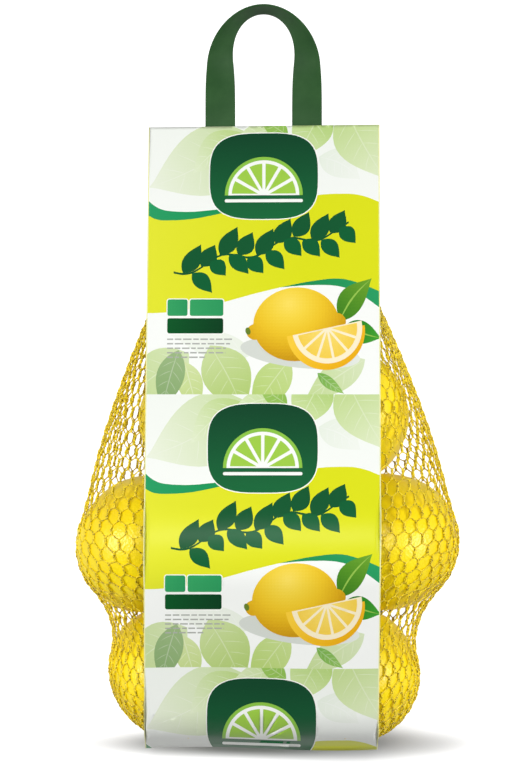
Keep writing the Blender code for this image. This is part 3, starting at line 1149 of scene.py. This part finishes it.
def make_handle(mat):
    """The ribbon of part.py, with rounded edges and a fine route."""
    route = []
    for step in range(LEG_STEPS):
        y = HANDLE_END_Y + (ARCH_START_Y - HANDLE_END_Y) * step / LEG_STEPS
        route.append((-HANDLE_HALF_SPAN, y, 0.0))
    for step in range(ARCH_STEPS + 1):
        angle = 0.5 * math.pi * step / ARCH_STEPS
        x = -HANDLE_HALF_SPAN * math.cos(angle)
        y = ARCH_START_Y + (HANDLE_TOP_Y - ARCH_START_Y) * math.sin(angle)
        route.append((x, y, angle))
    run = [0.0]
    for before, after in zip(route, route[1:]):
        run.append(run[-1] + math.dist(before[:2], after[:2]))
    run_start = TWIST_START_Y - HANDLE_END_Y
    outline = ribbon_outline()
    up = np.array([0.0, 0.0, 1.0])
    rings = []
    for (x, y, angle), at in zip(route, run):
        share = min(max((at - run_start) / (run[-1] - run_start), 0.0), 1.0)
        twist = TOP_TWIST * (0.5 - 0.5 * math.cos(math.pi * share))
        outward = np.array([-math.cos(angle), math.sin(angle), 0.0])
        width = outward * math.cos(twist) + up * math.sin(twist)
        depth = up * math.cos(twist) - outward * math.sin(twist)
        middle = np.array([x, y, RIBBON_REST_Z + RIBBON_WIDTH / 2 * math.sin(twist)])
        rings.append([middle + width * across + depth * thick for across, thick in outline])
    mirror = np.array([-1.0, 1.0, 1.0])
    rings += [[corner * mirror for corner in ring] for ring in reversed(rings[:-1])]
    vertices = [corner + np.array([HANDLE_X, 0.0, 0.0]) for ring in rings for corner in ring]
    return mesh_object("ribbon_handle", vertices, tube_faces(len(rings), len(outline)), mat)


def ribbon_outline():
    """The ribbon's section: flat faces and round edges, slightly thicker at the edges."""
    half, thick = RIBBON_WIDTH / 2, RIBBON_THICKNESS / 2
    outline = []
    for sign in (1.0, -1.0):
        for across in np.linspace(-half + thick, half - thick, 7):
            outline.append((sign * across, sign * -thick * RIBBON_FLATNESS))
        for angle in (-45.0, 0.0, 45.0):
            turn = math.radians(angle)
            outline.append((sign * (half - thick + thick * math.cos(turn)), sign * thick * math.sin(turn)))
    return outline


# ---- stage

def make_floor(mat):
    size = FLOOR_HALF_SIZE
    corners = [(x, y, -FLOOR_DROP) for x, y in ((-size, -size), (size, -size), (size, size), (-size, size))]
    floor = mesh_object("floor", corners, [(0, 1, 2, 3)], mat, closed=False)


def add_softbox(name, place, size, power):
    light = bpy.data.lights.new(name, "AREA")
    light.shape = "RECTANGLE"
    light.size, light.size_y = size
    light.energy = power
    lamp = bpy.data.objects.new(name, light)
    lamp.location = place
    aim = Vector(LIGHT_AIM) - Vector(place)
    lamp.rotation_euler = aim.to_track_quat("-Z", "Y").to_euler()
    bpy.context.scene.collection.objects.link(lamp)


def make_lights():
    world = bpy.data.worlds.new("studio")
    world.use_nodes = True
    tree = world.node_tree
    set_inputs(tree, tree.nodes["Background"], Color=(1.0, 1.0, 1.0, 1.0),
               Strength=seen_and_given(tree, FLOOR_GLOW, ROOM_LIGHT))
    bpy.context.scene.world = world
    for name, place, size, power in SOFTBOXES:
        add_softbox(name, place, size, power)


def make_camera():
    data = bpy.data.cameras.new("camera")
    data.sensor_width = SENSOR
    data.lens = SENSOR * (CAMERA_HEIGHT - SHARP_PLANE) / VIEW_LENGTH
    data.clip_end = 50.0
    camera = bpy.data.objects.new("camera", data)
    camera.location = (*CAMERA_AT, CAMERA_HEIGHT)
    bpy.context.scene.collection.objects.link(camera)
    bpy.context.scene.camera = camera


def ride(pieces, slot, *nodes):
    for piece in pieces:
        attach(piece, BODY)
        if nodes:
            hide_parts(*nodes)


def main():
    bpy.context.scene.view_settings.view_transform = "Standard"
    make_camera()
    make_lights()
    make_floor(floor_material())
    mats = {
        "lemon": lemon_material(),
        "stem": stem_material(),
        "film": film_material(),
        "film_inside": film_inside_material(),
    }
    rings = net_skin()
    skin = Skin(rings)
    net = make_net(skin, net_material())
    ride(net, "net", "net_bag")
    for index, place in enumerate(LEMONS):
        ride(make_lemon(index, place, mats), "net", "net_bag")
    layout = print_layout((BAND_TOP_Y - BAND_BOTTOM_Y) / MM)
    front = make_band("front_film", front_line(rings), layout, True, mats)
    back = make_band("back_film", back_line(rings), layout, False, mats)
    ride([front], "front_film", "front_band")
    ride([back], "back_film", "back_band")
    ride([make_handle(ribbon_material())], "ribbon", "handle")


main()
